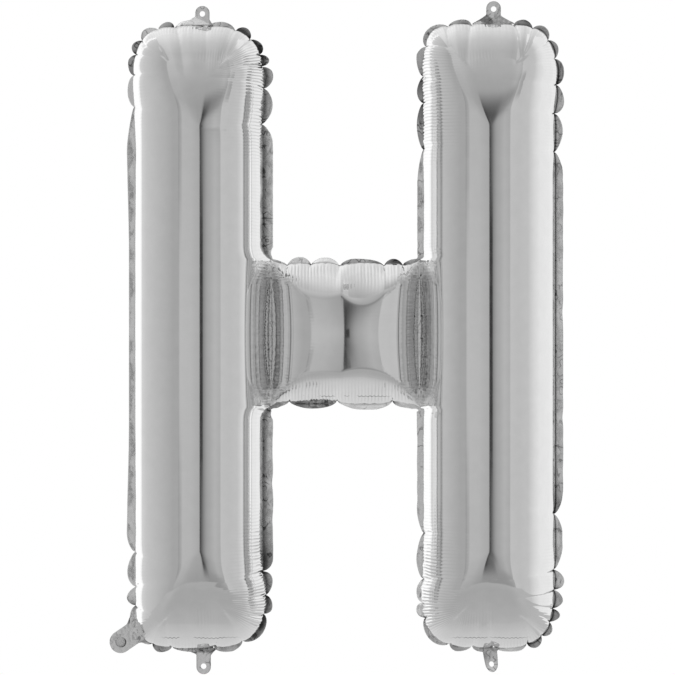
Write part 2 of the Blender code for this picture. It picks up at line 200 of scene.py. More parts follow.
# Where the border's outer edges run: each leg's left and right one, the legs' tops and bottom,
# and the crossbar's bottom and top
LEFT_LEG_EDGES = (-0.3116, -0.1058)
RIGHT_LEG_EDGES = (0.1054, 0.3158)
LEG_TOPS = (0.459, 0.4612)
LEG_BOTTOM = -0.4538
BAR_EDGES = (-0.1028, 0.1148)

# The studio round the letter: how far off its walls are, in shares of the front wall's
# distance, the front's own tone, the light's strength, and the floor's height
LEFT_AND_RIGHT = (0.78, 0.75)
FLOOR_AND_CEILING = (2.6, 1.6)
FRONT_AND_BACK = (1.0, 0.65)
FRONT_TONE = 176
STUDIO_LIGHT = 1.16
FLOOR_Z = -0.9


def smooth(value, low, high):
    """0 below low, 1 above high, and a soft rise between."""
    t = np.clip((value - low) / (high - low), 0.0, 1.0)
    return t * t * (3.0 - 2.0 * t)


def hump(value, width):
    """1 at 0, falling off on both sides over a width."""
    return np.exp(-(value / width) ** 2)


def raised(z):
    """Heights moved up with the crossbar, which sits a little above the letter's middle."""
    return z + BAR_RISE * (1.0 - smooth(np.abs(z), 0.14, 0.28))


def weld_half_width(z):
    """Half the width of the fused strip in a junction weld, at height z."""
    reach = np.minimum(1.0, np.abs(z) / WELD_HALF_LENGTH)
    return WELD_HALF_WIDTH * (1.0 - reach ** 2)


def passage_depth(z):
    """Half the depth of the gas passage between a weld's tip and the seam."""
    middle = 0.5 * (WELD_HALF_LENGTH + PINCH_TOP)
    half = 0.5 * (PINCH_TOP - WELD_HALF_LENGTH)
    reach = (np.abs(z) - middle) / half
    return PASSAGE_HALF_DEPTH * np.sqrt(np.maximum(0.0, 1.0 - reach ** 2))


def groove(d, z):
    """Holds the film low beside a weld, where it leaves the fused strip at a slant."""
    beside = 1.0 - smooth(np.abs(z), WELD_HALF_LENGTH, FILLET_Z)
    return 1.0 - beside * np.exp(-np.maximum(d, 0.0) / WELD_GROOVE)


def inner_edge_x(side, z):
    """How far a leg's inner edge lies from the letter's middle, at height z."""
    height = np.abs(z)
    if side > 0.0:
        left = np.clip(1.0 - (height - PINCH_TOP) / RIGHT_CORNER_RISE, 0.0, 1.0)
        corner = RIGHT_SEAM_X - (RIGHT_SEAM_X - WELD_X) * left ** 2
    else:
        rise = np.clip(FILLET_Z - height, 0.0, FILLET_Z - PINCH_TOP)
        corner = FILLET_X + np.sqrt(INNER_CORNER_RADIUS ** 2 - rise ** 2)
    return np.where(height <= PINCH_TOP, WELD_X + weld_half_width(z), corner)


def bar_seam_z(x):
    """Height of the crossbar's seam, which curves up into the legs' inner edges."""
    run = np.clip(np.abs(x) - FILLET_X, 0.0, WELD_X - FILLET_X)
    return FILLET_Z - np.sqrt(INNER_CORNER_RADIUS ** 2 - run ** 2)


def at_corner(side, across, along, item):
    """One number of LEG_CORNERS at each place on a leg."""
    outer, inner = [np.where(along > 0.0, upper[item], lower[item])
                    for upper, lower in zip(LEG_CORNERS[side, 1.0], LEG_CORNERS[side, -1.0])]
    return np.where(across > 0.0, inner, outer)


def leg_shape(side, across, along):
    """Front film of a leg. across runs from -1, outside, to 1, beside the bar."""
    end = np.maximum(0.0, (np.abs(along) - STRAIGHT_HALF) / LEG_END_LENGTH)
    level = np.maximum(np.maximum(np.abs(across), end), 1e-9)
    side_power = at_corner(side, across, along, 0)
    end_power = at_corner(side, across, along, 1)
    a = (np.abs(across) / level) ** side_power
    b = (end / level) ** end_power
    scale = np.ones_like(level)
    for _ in range(16):
        error = a * scale ** side_power + b * scale ** end_power - 1.0
        slope = (side_power * a * scale ** (side_power - 1)
                 + end_power * b * scale ** (end_power - 1))
        scale = scale - error / np.maximum(slope, 1e-9)
    scale = np.where(end > 0.0, scale, 1.0)
    p = across * scale
    end_length = at_corner(side, across, along, 3)
    past = np.sign(along) * (STRAIGHT_HALF + end * scale * end_length)
    z = np.where(end > 0.0, past, along)
    swell = hump(np.abs(z) - SWELL_HEIGHT, SWELL_LENGTH) * at_corner(side, across, along, 2)
    half_width, usual = [
        np.where(across > 0.0, LEG_AXIS_X - inner_edge_x(side, height), LEG_OUTER_RADII[side])
        for height in (z, PLAIN_LEG_Z)]
    aside = p * (usual + np.abs(p) ** 4 * (half_width - usual)) * (1.0 + swell)
    half_width = half_width * (1.0 + swell)
    depth = LEG_RADIUS * np.sqrt(np.maximum(0.0, 1.0 - level ** 2))
    depth = depth * np.where(across > 0.0, groove((1.0 - p) * half_width, z), 1.0)
    beside = np.maximum(0.0, p) ** 8
    lean = LEG_LEAN * depth * (1.0 - beside)
    depth = np.hypot(depth, passage_depth(z) * beside)
    return np.stack([side * (LEG_AXIS_X - aside - lean), -depth, raised(z)], axis=-1)


def bar_eaves(x, up):
    """How far up or down the crossbar its flat middle ends. It dips in the middle of each lobe."""
    dips = 0.0
    for middle, half, above, below in BAR_LOBES:
        lobe = np.clip(1.0 - ((x - middle) / half) ** 2, 0.0, 1.0)
        dips = dips + np.where(up > 0.0, above, below) * lobe
    return BAR_EAVES + 0.13 * smooth(np.abs(x), 0.052, 0.085) - dips


def bar_shape(across, up):
    """Front film of the crossbar. across and up run from -1 to 1."""
    x = across * (WELD_X - weld_half_width(up * PINCH_TOP))
    z = up * np.where(np.abs(across) < 1.0, bar_seam_z(x), PINCH_TOP)
    side = 1.0 - np.abs(across) ** (BAR_SIDE_POWER + BAR_FLATTER * up ** 2)
    eaves = bar_eaves(x, up)
    roof = np.maximum(0.0, (np.abs(up) - eaves) / (1.0 - eaves))
    seam = 1.0 - BAR_SAG * up ** 2 - (1.0 - BAR_SAG) * roof ** BAR_ROOF_POWER
    depth = BAR_HALF_DEPTH * np.sqrt(np.maximum(0.0, side)) * np.maximum(0.0, seam)
    depth = depth * groove(WELD_X - weld_half_width(z) - np.abs(x), z)
    depth = np.hypot(depth, passage_depth(up * PINCH_TOP) * np.abs(across) ** 8)
    return np.stack([x, -depth, raised(z)], axis=-1)


class SeamLine:
    """A closed line round one skin, with its gathers, and how the film puckers along it."""

    def __init__(self, points, gathers, seed):
        self.points = points
        following = np.roll(points, -1, axis=0)
        steps = np.linalg.norm(following - points, axis=1)
        self.run = np.concatenate([[0.0], np.cumsum(steps)[:-1]])
        self.length = float(steps.sum())
        ahead = following - np.roll(points, 1, axis=0)
        self.along = ahead / np.linalg.norm(ahead, axis=1)[:, None]
        area = np.sum(points[:, 0] * following[:, 1] - following[:, 0] * points[:, 1])
        self.out = np.stack([self.along[:, 1], -self.along[:, 0]], axis=1) * np.sign(area)
        self.tree = kdtree.KDTree(len(points))
        for index, (x, z) in enumerate(points):
            self.tree.insert((x, z, 0.0), index)
        self.tree.balance()
        rng = np.random.default_rng(seed)
        found = []
        for x, z, depth, reach in np.array(gathers) / 1000.0:
            index = self.tree.find((x, z, 0.0))[1]
            found.append((self.run[index], depth, reach, rng.uniform(-GATHER_SKEW, GATHER_SKEW)))
        found.sort()
        self.gathers = []
        for index, (place, depth, reach, skew) in enumerate(found):
            before = (place - found[index - 1][0]) % self.length
            after = (found[(index + 1) % len(found)][0] - place) % self.length
            half = min(PILLOW_HALF, 0.5 * min(before, after) + PILLOW_LAP)
            height = abs(float(np.interp(place, self.run, points[:, 1])))
            scallop = SCALLOP if height > SCALLOP_FROM_Z else 0.0
            self.gathers.append((place, depth, reach, skew, half, scallop))
        self.waves = [(rng.uniform(*PUCKER_PITCHES), rng.uniform(0.0, 6.28), rng.uniform(0.5, 1.0))
                      for _ in range(PUCKERS)]

    def nearest(self, xz):
        """For points in the letter's plane: their place along the line, and distance from it."""
        run = np.empty(len(xz))
        away = np.empty(len(xz))
        for row, (x, z) in enumerate(xz):
            _, index, _ = self.tree.find((x, z, 0.0))
            dx = x - self.points[index, 0]
            dz = z - self.points[index, 1]
            run[row] = self.run[index] + dx * self.along[index, 0] + dz * self.along[index, 1]
            away[row] = abs(dx * self.out[index, 0] + dz * self.out[index, 1])
        return run, away

    def gap(self, run, place):
        """Distance along the closed line from a place on it."""
        gap = np.abs(run - place) % self.length
        return np.minimum(gap, self.length - gap)

    def pull(self, run, reach_in):
        """How far the gathers pull the film in, reach_in metres of film from the line."""
        total = np.zeros_like(run)
        for place, depth, reach, skew, half, scallop in self.gathers:
            gap = self.gap(run + skew * reach_in, place)
            u = np.clip(gap / half, 0.0, 1.0)
            pillow = 1.0 - np.sqrt(np.maximum(0.0, 1.0 - (1.0 - u) ** 2))
            pillow *= hump(reach_in, PILLOW_REACH * reach)
            fold = np.exp(-gap / (FOLD_WIDTH + FOLD_SPREAD * reach_in)) * hump(reach_in, reach)
            dent = (1.0 - u) ** 1.5 * hump(reach_in - SCALLOP_REACH, SCALLOP_LENGTH)
            total += depth * (PILLOW * pillow + FOLD * fold + scallop * dent)
        return total

    def pucker(self, run, reach_in, vigour):
        """Small soft puckers square to the line, of mixed widths."""
        total = np.zeros_like(run)
        for pitch, phase, share in self.waves:
            total += share * np.sin(2.0 * math.pi * run / pitch + phase)
        return vigour * PUCKER_HEIGHT * total * hump(reach_in, PUCKER_REACH)


def leg_line(side):
    """The closed line round a leg: up its inner seam, over, down, back, and up the weld."""
    def edge(across, along):
        return leg_shape(side, across, along)[:, [0, 2]]

    rise = np.linspace(PINCH_TOP, SEAM_HALF_HEIGHT, 500)[:-1]
    over = np.linspace(1.0, -1.0, 240)[:-1]
    fall = np.linspace(SEAM_HALF_HEIGHT, -SEAM_HALF_HEIGHT, 1000)[:-1]
    weld = np.linspace(-PINCH_TOP, PINCH_TOP, 160)[:-1]
    parts = [
        edge(np.ones_like(rise), rise),
        edge(over, np.full_like(over, SEAM_HALF_HEIGHT)),
        edge(-np.ones_like(fall), fall),
        edge(-over, np.full_like(over, -SEAM_HALF_HEIGHT)),
        edge(np.ones_like(rise), -rise[::-1]),
        edge(np.ones_like(weld), weld),
    ]
    return np.concatenate(parts)


def bar_line():
    """The closed line round the crossbar: along the top, down a weld, back, and up."""
    run = np.linspace(-1.0, 1.0, 160)[:-1]
    one = np.ones_like(run)
    parts = [bar_shape(run, one), bar_shape(one, -run), bar_shape(-run, -one), bar_shape(-one, run)]
    return np.concatenate(parts)[:, [0, 2]]


def spaced(count=150):
    """Places from -1 to 1, spaced evenly round a half circle."""
    return np.sin(np.pi * (np.arange(count + 1) / count - 0.5))


def leg_rows():
    """Heights of the rows of faces over a leg, closest together towards its ends."""
    inner = np.linspace(-PINCH_TOP, PINCH_TOP, 60)
    corner = np.linspace(PINCH_TOP, FILLET_Z, 12)[1:]
    straight = np.linspace(FILLET_Z, STRAIGHT_HALF, 80)[1:]
    end = STRAIGHT_HALF + LEG_END_LENGTH * np.sin(np.pi / 2 * np.arange(1, 151) / 150)
    above = np.concatenate([corner, straight, end])
    return np.concatenate([-above[::-1], inner, above])


def leg_ribs(x, z):
    """How strongly a leg's film is ribbed, and how far in: most on the sides of the gaps."""
    height = np.abs(z)
    inner = np.abs(x) < LEG_AXIS_X
    ends = 0.1 + 0.9 * smooth(height, 0.23, 0.34)
    beside = (1.0 - smooth(height, 0.085, 0.125)) * inner
    straight = 1.0 - smooth(height, 0.4, 0.43)
    flank = inner * straight
    force = ends * (0.75 + 2.15 * flank - 0.3 * (straight - flank))
    reach = 0.034 + 0.016 * straight + 0.016 * flank - 0.036 * beside
    return np.maximum(force, 1.3 * beside), reach


def bar_ribs(x, z):
    """How strongly the crossbar's film is ribbed, and how far in, from top and bottom."""
    height = np.abs(z - BAR_RISE)
    lobes = 0.08 + 1.12 * smooth(height / BAR_HALF_HEIGHT, 0.5, 0.8)
    beside = smooth(np.abs(x), 0.08, 0.092) * (1.0 - smooth(height, 0.07, 0.085))
    return lobes + 0.7 * beside, 0.07 - 0.054 * beside


def painted_weld_shade(x, z):
    """How much painted shade darkens the film beside a weld: softly, and more in a thin line next
    to it.
    """
    aside = np.maximum(0.0, np.abs(np.abs(x) - WELD_X) - weld_half_width(z))
    painted_dim = 0.05 * hump(aside, 0.0105) + 0.2 * hump(aside, 0.0028)
    return painted_dim * (1.0 - smooth(np.abs(z), 0.066, 0.092))


def film_sheet(shape, columns, rows, line, ribs):
    """The front of a skin: its places, and each place's run along and reach from the line."""
    across, up = np.meshgrid(columns, rows)
    place = shape(across, up)
    run, away = line.nearest(place[..., [0, 2]].reshape(-1, 2))
    depth = np.abs(place[..., 1])
    away = away.reshape(depth.shape)
    run = run.reshape(depth.shape)
    edge = np.zeros(depth.shape, bool)
    edge[0, :] = edge[-1, :] = edge[:, 0] = edge[:, -1] = True
    reach_in = np.hypot(away, np.where(edge, 0.0, depth))
    force, rib_reach = ribs(place[..., 0], place[..., 2])
    normal = np.cross(np.gradient(place, axis=1), np.gradient(place, axis=0))
    normal /= np.maximum(np.linalg.norm(normal, axis=-1), 1e-12)[..., None]
    if normal[depth.shape[0] // 2, depth.shape[1] // 2, 1] > 0.0:
        normal = -normal
    inward = line.pull(run, reach_in) + line.pucker(run, reach_in, force)
    normal[edge, 1] = 0.0
    bent = place - normal * inward[..., None]
    bent[edge, 1] = place[edge, 1]
    bent[..., 1] = np.minimum(bent[..., 1], 0.0)
    begins = 0.25 + 0.75 * smooth(reach_in, 0.003, 0.016)
    rib = force * np.exp(-(reach_in / rib_reach) ** 3) * begins
    return bent, run, reach_in, rib, painted_weld_shade(place[..., 0], place[..., 2] - BAR_RISE)


def grid(bm, wide, high):
    """Makes a flat grid and yields its vertices with the column and row of each."""
    for vertex in bmesh.ops.create_grid(bm, x_segments=wide, y_segments=high, size=0.5)["verts"]:
        yield vertex, round((vertex.co.x + 0.5) * wide), round((vertex.co.y + 0.5) * high)


def skin(word, shape, columns, rows, line, ribs, material):
    """A closed skin of film as its front and back sheets, which meet at the seam."""
    wide = len(columns) - 1
    high = len(rows) - 1
    place, run, reach_in, rib, painted_dim = film_sheet(shape, columns, rows, line, ribs)
    rightwards = place[high // 2, wide, 0] > place[high // 2, 0, 0]
    for name, facing in (("front", -1.0), ("back", 1.0)):
        bm = bmesh.new()
        seam_map = bm.loops.layers.uv.new("Seam")
        strength = bm.verts.layers.float.new("rib")
        # This attribute holds the painted shade beside the welds, which the mirror film's colour
        # takes.
        shade = bm.verts.layers.float.new("painted_dim")
        index = {}
        for vertex, column, row in grid(bm, wide, high):
            if rightwards == (facing > 0.0):
                column = wide - column
            x, y, z = place[row, column]
            vertex.co = (x, -facing * y, z)
            vertex[strength] = rib[row, column]
            vertex[shade] = painted_dim[row, column]
            index[vertex] = (row, column)
        for face in bm.faces:
            face.smooth = True
            spots = [index[loop.vert] for loop in face.loops]
            runs = [run[spot] for spot in spots]
            wrap = max(runs) - min(runs) > 0.5 * line.length
            for loop, spot, along in zip(face.loops, spots, runs):
                if wrap and along < 0.5 * line.length:
                    along += line.length
                loop[seam_map].uv = (along, reach_in[spot])
        film_piece("film_%s_%s" % (word, name), bm, material, "bright_foil", name + "_panel")


def outline_of_letter(legs, bar):
    """The letter's outline in one closed run: places, outward directions, gaps to a gather."""
    def stretch(line, start, stop):
        run = np.linspace(start + 0.002, stop - 0.002, int((stop - start) / 0.0013))

        def along(values):
            return np.stack([np.interp(run, line.run, values[:, k], period=line.length)
                             for k in (0, 1)], 1)

        out = along(line.out)
        out /= np.linalg.norm(out, axis=1)[:, None]
        inward = line.pull(run, np.zeros_like(run))
        gap = np.min([line.gap(run, gather[0]) for gather in line.gathers], axis=0)
        return along(line.points) - out * (inward[:, None] + BORDER_TUCK), out, gap

    left, right = legs
    weld_run = 2.0 * PINCH_TOP
    corner = [bar.run[(len(bar.points) // 4) * k] for k in range(4)]
    parts = [
        stretch(left, 0.0, left.length - weld_run),
        [part[::-1] for part in stretch(bar, corner[2], corner[3])],
        [part[::-1] for part in stretch(right, 0.0, right.length - weld_run)],
        [part[::-1] for part in stretch(bar, corner[0], corner[1])],
    ]
    return [np.concatenate(kind) for kind in zip(*parts)]


def crumple(x, z, pitch, seed):
    """Height of creased film at a spot, between about -0.5 and 0.5."""
    spot = Vector((x / pitch, z / pitch, seed))
    return 0.7 * (0.5 - abs(noise.noise(spot))) + 0.3 * (0.5 - abs(noise.noise(spot * 2.3)))


def film_grid(wide, high, place, closed=False, fold=None):
    """A sheet of film, each vertex put at place(column, row) and given painted shade by
    fold(column, row).
    """
    bm = bmesh.new()
    # The fold attribute holds painted shade.
    shade = bm.verts.layers.float.new("fold")
    for vertex, column, row in grid(bm, wide, high):
        vertex.co = place(column, row)
        if fold is not None:
            vertex[shade] = fold(column, row)
    if closed:
        bmesh.ops.remove_doubles(bm, verts=bm.verts, dist=0.00001)
    return bm


def thicken(bm):
    """Gives a sheet of film its two faces."""
    bmesh.ops.recalc_face_normals(bm, faces=bm.faces)
    bmesh.ops.solidify(bm, geom=bm.faces[:], thickness=FILM_THICKNESS)
    for face in bm.faces:
        face.smooth = True
    return bm


def pierce(bm, middle, radius):
    """Cuts a round hole in a flat sheet and draws the edge that it leaves onto the circle."""
    inside = [face for face in bm.faces
              if all((vertex.co - middle).length < radius * 1.02 for vertex in face.verts)]
    bmesh.ops.delete(bm, geom=inside, context="FACES")
    for vertex in bm.verts:
        away = vertex.co - middle
        if vertex.is_boundary and away.length < radius * 1.45:
            vertex.co = middle + away * (radius / away.length)


def border_width(place, out):
    """Width of the sealed margin: it fills up the letter's outline, whose edges run straight."""
    x, z = place[:, 0], place[:, 1]
    on_leg = np.abs(x) > INNER_SEAM_X - 0.008
    outermost = LEFT_LEG_EDGES[0] - 0.003 * smooth(np.abs(z), 0.12, 0.3)
    edge_x = np.where(x < 0.0, np.where(out[:, 0] < 0.0, outermost, LEFT_LEG_EDGES[1]),
                      np.where(out[:, 0] < 0.0, *RIGHT_LEG_EDGES))
    edge_z = np.where(on_leg, np.where(z < 0.0, LEG_BOTTOM, np.where(x < 0.0, *LEG_TOPS)),
                      np.where(z < 0.0, *BAR_EDGES))
    most = 0.008 + 0.0055 * (1.0 - smooth(np.abs(z), 0.37, 0.42))
    upright = np.clip(np.abs(edge_x - x), 0.0042, most)
    level_width = np.clip(np.abs(edge_z - z), 0.0035, 0.008)
    return out[:, 0] ** 2 * upright + out[:, 1] ** 2 * level_width


def sealed_border(outline, material):
    """The sealed margin: a petal between each two gathers, tipped and curled its own way."""
    place, out, gap = outline
    rng = np.random.default_rng(5)
    count = len(place)
    hops = np.linalg.norm(np.roll(place, -1, axis=0) - place, axis=1)
    run = np.concatenate([[0.0], np.cumsum(hops)[:-1]])
    nearest = (gap < np.roll(gap, 1)) & (gap <= np.roll(gap, -1)) & (gap < 0.002)
    ends = np.flatnonzero(nearest)
    petal = np.searchsorted(ends, np.arange(count), side="right") % len(ends)
    start = run[ends[petal - 1]]
    length = (run[ends[petal]] - start) % hops.sum()
    share = ((run - start) % hops.sum()) / length
    lopsided, fullness, tips, curls, petal_tones_and_painted_shade, ways = [
        rng.uniform(low, high, len(ends)) for low, high in
        ((0.75, 1.3), (0.88, 1.1), (-0.22, 0.22), (-0.5, 0.5), (-0.1, 0.3), (0.0, 1.0))]
    steep = np.zeros(len(ends))
    # PETALS give these petals painted shade, and painted light where the value is below 0, in place
    # of their random tone.
    for x, z, dark, tip in PETALS:
        off = np.hypot(place[:, 0] - x / 1000.0, place[:, 1] - z / 1000.0)
        here = petal[np.argmin(off)]
        petal_tones_and_painted_shade[here] = dark
        steep[here] = tip
    lopsided, fullness, tips, curls, petal_tones_and_painted_shade, ways, steep = [
        values[petal] for values in (lopsided, fullness, tips, curls, petal_tones_and_painted_shade, ways, steep)]

    t = share ** lopsided
    inside = np.minimum(t, 1.0 - t) * length
    dome = np.clip(inside / np.minimum(0.5 * length, PETAL_DOME), 0.0, 1.0)
    dome = np.sin(0.5 * np.pi * dome) ** 0.8
    width = border_width(place, out) * fullness * (0.1 + 0.9 * dome) / np.cos(steep)
    corner = np.hypot(np.abs(place[:, 0]) - FILLET_X, np.abs(place[:, 1] - BAR_RISE) - FILLET_Z)
    corner = hump(corner - INNER_CORNER_RADIUS, 0.01)
    points = np.empty((count + 1, PETAL_STEPS + 1, 3))
    painted_shades = np.empty((count + 1, PETAL_STEPS + 1))
    for k in range(count):
        x, z = place[k]
        ox, oz = out[k]
        ripple = noise.noise(Vector((x * 40.0, z * 40.0, 3.0)))
        patch = smooth(noise.noise(Vector((x * 90.0, z * 90.0, 8.0))), -0.1, 0.2)
        tip = 0.3 * abs(oz) * math.copysign(1.0, tips[k]) - 0.22 * ox + tips[k] + 0.45 * ripple
        if steep[k]:
            tip = steep[k] + 0.2 * ripple
        # Painted shade, kept in the fold attribute: dark at the cusps by the gathers, each petal's
        # own tone, and a strip along the root, darkest by the film, on edges that face right, with
        # patches on the top and bottom edges. On the straight part of the left leg's outer side
        # that painted shade is taken away again.
        painted_cusp_shade = 0.9 * hump(gap[k], 0.0035) * patch
        fades = math.exp(-max(0.0, gap[k] - 0.02) / 0.02)
        tone = petal_tones_and_painted_shade[k] * (0.7 * abs(share[k] - round(ways[k])) + 0.6) * fades
        root = (0.56 if x < 0.0 else 0.76) * max(0.0, ox) + 0.3 * abs(oz) * patch
        spread = 0.006 if x < 0.0 < ox else 0.0016
        plain = 0.5 * max(0.0, -ox) if x < -LEG_AXIS_X and abs(z) < 0.37 else 0.0
        down = 0.0
        away = 0.0
        step = (width[k] + BORDER_TUCK) / PETAL_STEPS
        for j in range(PETAL_STEPS + 1):
            t = j / PETAL_STEPS
            angle = (tip + curls[k] * (t - 0.5)) * min(1.0, t / 0.3)
            fine = crumple(x + ox * away, z + oz * away, 0.008, 1.0)
            lift = (0.0005 + 0.0016 * corner[k]) * fine * min(1.0, t / 0.25)
            strip = hump(max(0.0, j * step - BORDER_TUCK), spread)
            points[k, j] = (x + ox * away, down + lift, z + oz * away)
            painted_shades[k, j] = min(1.0, max(0.0, root * strip + painted_cusp_shade + tone)) - plain
            down += step * math.sin(angle)
            away += step * math.cos(angle)
    points[count] = points[0]
    painted_shades[count] = painted_shades[0]
    bm = film_grid(count, PETAL_STEPS, lambda c, r: points[c, r], closed=True,
                   fold=lambda c, r: painted_shades[c, r])
    film_piece("sealed_border", thicken(bm), material, "sealed_foil", "seam_border")


def weld_strip(side, word, material):
    """The fused strip of a junction weld, ribbed and crinkled, in the groove by the bar."""
    wide = 10
    high = 130

    def place(column, row):
        u = 2.0 * column / wide - 1.0
        z = (2.0 * row / high - 1.0) * (WELD_HALF_LENGTH + 0.002)
        aside = u * (weld_half_width(z) + 0.0008)
        x = side * WELD_X + aside
        turn = 2.0 * math.pi * (z + 0.25 * aside) / WELD_RIB_PITCH
        rib = WELD_RIB_HEIGHT * math.sin(turn) * (1.0 - u * u)
        y = rib - WELD_SLANT * side * aside + 0.0005 * crumple(x, z, 0.005, 2.0) * (1.0 - u ** 4)
        return x, y, raised(z)

    # Painted shade: dark along the strip's two edges, none in its middle.
    def fold(column, row):
        return 0.85 * smooth(abs(2.0 * column / wide - 1.0), 0.2, 0.65) - 0.4

    strip = thicken(film_grid(wide, high, place, fold=fold))
    film_piece("weld_strip_" + word, strip, material, "sealed_foil", "junction_weld_" + word)


def round_end(height, tip, half):
    """Half width of a strip with a round end, at a height below its tip."""
    rise = max(0.0, height - (tip - half))
    return math.sqrt(max(0.0, half * half - rise * rise))


def rounded_strip(wide, high, root, tip, half, flare):
    """A flat strip with a round end, each edge widened by flare(height, 0 left or 1 right)."""
    def flat(column, row):
        height = root + (tip - root) * math.sin(0.5 * math.pi * row / high) ** 0.9
        across = 2.0 * column / wide - 1.0
        wider = flare(height, 0 if across < 0.0 else 1)
        return across * (round_end(height, tip, half) + wider), 0.0, height

    return film_grid(wide, high, flat, closed=True)


def tab(name, material):
    """A punched hanging tab with its flared, folded root, made flat and then bent."""
    middle, way, seam, flares, necks, lean, twist, line, tilt, painted_shades = TABS[name]
    lowest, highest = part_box(name)
    reach = (highest[2] if way > 0.0 else -lowest[2]) - seam
    half = 0.5 * TAB_WIDTH

    def flare(height, item):
        return flares[item] * max(0.0, 1.0 - max(0.0, height) / necks[item]) ** 1.25

    bm = rounded_strip(28, 56, TAB_ROOT, reach, half, flare)
    pierce(bm, Vector((0.0, 0.0, reach - TAB_HOLE_FROM_TIP)), TAB_HOLE_RADIUS)
    shade = bm.verts.layers.float["fold"]
    for vertex in bm.verts:
        u, _, height = vertex.co
        fold_line = max(0.0, line[0] + line[1] * u + line[2] * abs(u))
        base = 1.0 - smooth(height - fold_line, -0.0004, 0.0004)
        held = min(height, fold_line)
        bend = tilt[0] * (held - tilt[1]) * math.exp(-max(0.0, height - fold_line) / 0.006)
        bend *= smooth(height, TAB_ROOT, 0.001)
        turn = twist * max(0.0, height) / reach
        edge = round_end(height, reach, half) - abs(u)
        rough = crumple(u, height, 0.005, 4.0 + middle)
        x = middle + lean * max(0.0, height) / reach + u * math.cos(turn)
        y = bend + u * (math.sin(turn) - TAB_SLANT) + 0.0007 * rough * (0.25 + base) - 0.0006
        vertex.co = (x, y, way * (seam + height))
        # Painted shade: below the fold line, each side's shade of the root and darker crumples;
        # above it, a dark outline along the tab's edge.
        dark = painted_shades[0] if u < 0.0 else painted_shades[1]
        rim = 0.35 * math.exp(-max(0.0, edge) / 0.0009) + 0.04
        vertex[shade] = min(1.0, base * (dark + 0.6 * max(0.0, rough)) + (1.0 - base) * rim)
    film_piece("film_" + name, thicken(bm), material, "sealed_foil", name)


def inflation_tail(material):
    """The tail that the gas goes in by: a strip with a round end, creased at its root."""
    along = Vector((-math.cos(TAIL_SLOPE), 0.0, -math.sin(TAIL_SLOPE)))
    aside = Vector((along.z, 0.0, -along.x))
    end = Vector((TAIL_END[0], TAIL_Y, TAIL_END[1]))
    half = 0.5 * TAIL_WIDTH
    tip = TAIL_LENGTH + half

    def flare(height, _):
        return TAIL_FLARE * (1.0 - smooth(height, TAIL_ROOT, 0.026))

    bm = rounded_strip(40, 70, TAIL_ROOT, tip, half, flare)
    hole = Vector((0.0, 0.0, TAIL_LENGTH))
    pierce(bm, hole, FILL_HOLE_RADIUS)
    shade = bm.verts.layers.float["fold"]
    for vertex in bm.verts:
        u, _, height = vertex.co
        away = (vertex.co - hole).length
        rim = hump(max(0.0, away - FILL_HOLE_RADIUS), 0.001)
        creased = 1.0 - smooth(height, 0.014, 0.034)
        rough = crumple(u, height, 0.007, 6.0)
        edge = round_end(height, tip, half) - abs(u)
        place = end + aside * u + along * (height - TAIL_LENGTH)
        place.y += TAB_SLANT * u
        lower_right = 0.0
        if rim > 0.01:
            lower_right = max(0.0, Vector((0.9, 0.0, -0.44)).dot((place - end).normalized()))
        place.y += 0.0016 * rough * creased + 0.0002 * rough - 0.0006 * rim * lower_right
        vertex.co = place
        # Painted shade: a dark ring round the fill hole, strongest at its lower right, darker
        # crumples at the root and a dark outline along the edge.
        painted_ring_shade = rim * (0.6 + 1.5 * lower_right ** 1.5)
        folds = 0.7 * creased * max(0.0, rough) + 0.35 * math.exp(-max(0.0, edge) / 0.0009)
        vertex[shade] = min(1.0, painted_ring_shade + folds - 0.18)
    film_piece("film_inflation_tail", thicken(bm), material, "sealed_foil", "inflation_tail")


def valve_window(material):
    """The valve film that shows in the fill hole, slack and slightly puckered."""
    around = 48
    rings = 12

    def place(column, row):
        radius = VALVE_RADIUS * row / rings
        turn = 2.0 * math.pi * column / around
        pucker = 0.00025 * math.sin(5.0 * turn + 60.0 * radius / VALVE_RADIUS) * row / rings
        return (TAIL_END[0] + radius * math.cos(turn), VALVE_Y + pucker,
                TAIL_END[1] + radius * math.sin(turn))

    window = thicken(film_grid(around, rings, place, closed=True))
    film_piece("valve_window", window, material, "valve_film", "valve_film")


def mesh_object(name, bm, material):
    """Makes an object of a finished bmesh, in its material."""
    mesh = bpy.data.meshes.new(name)
    bm.to_mesh(mesh)
    bm.free()
    mesh.materials.append(material)
    piece = bpy.data.objects.new(name, mesh)
    bpy.context.scene.collection.objects.link(piece)
    return piece


def film_piece(name, bm, material, slot, *nodes):
    """Makes a piece of the balloon and gives it its place in the frame."""
    piece = mesh_object(name, bm, material)
    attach(piece, "root")
    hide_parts(*nodes)


def level(tone):
    """A brightness seen in the photo, 0 to 255, as linear light."""
    value = tone / 255.0
    return value / 12.92 if value <= 0.04045 else ((value + 0.055) / 1.055) ** 2.4


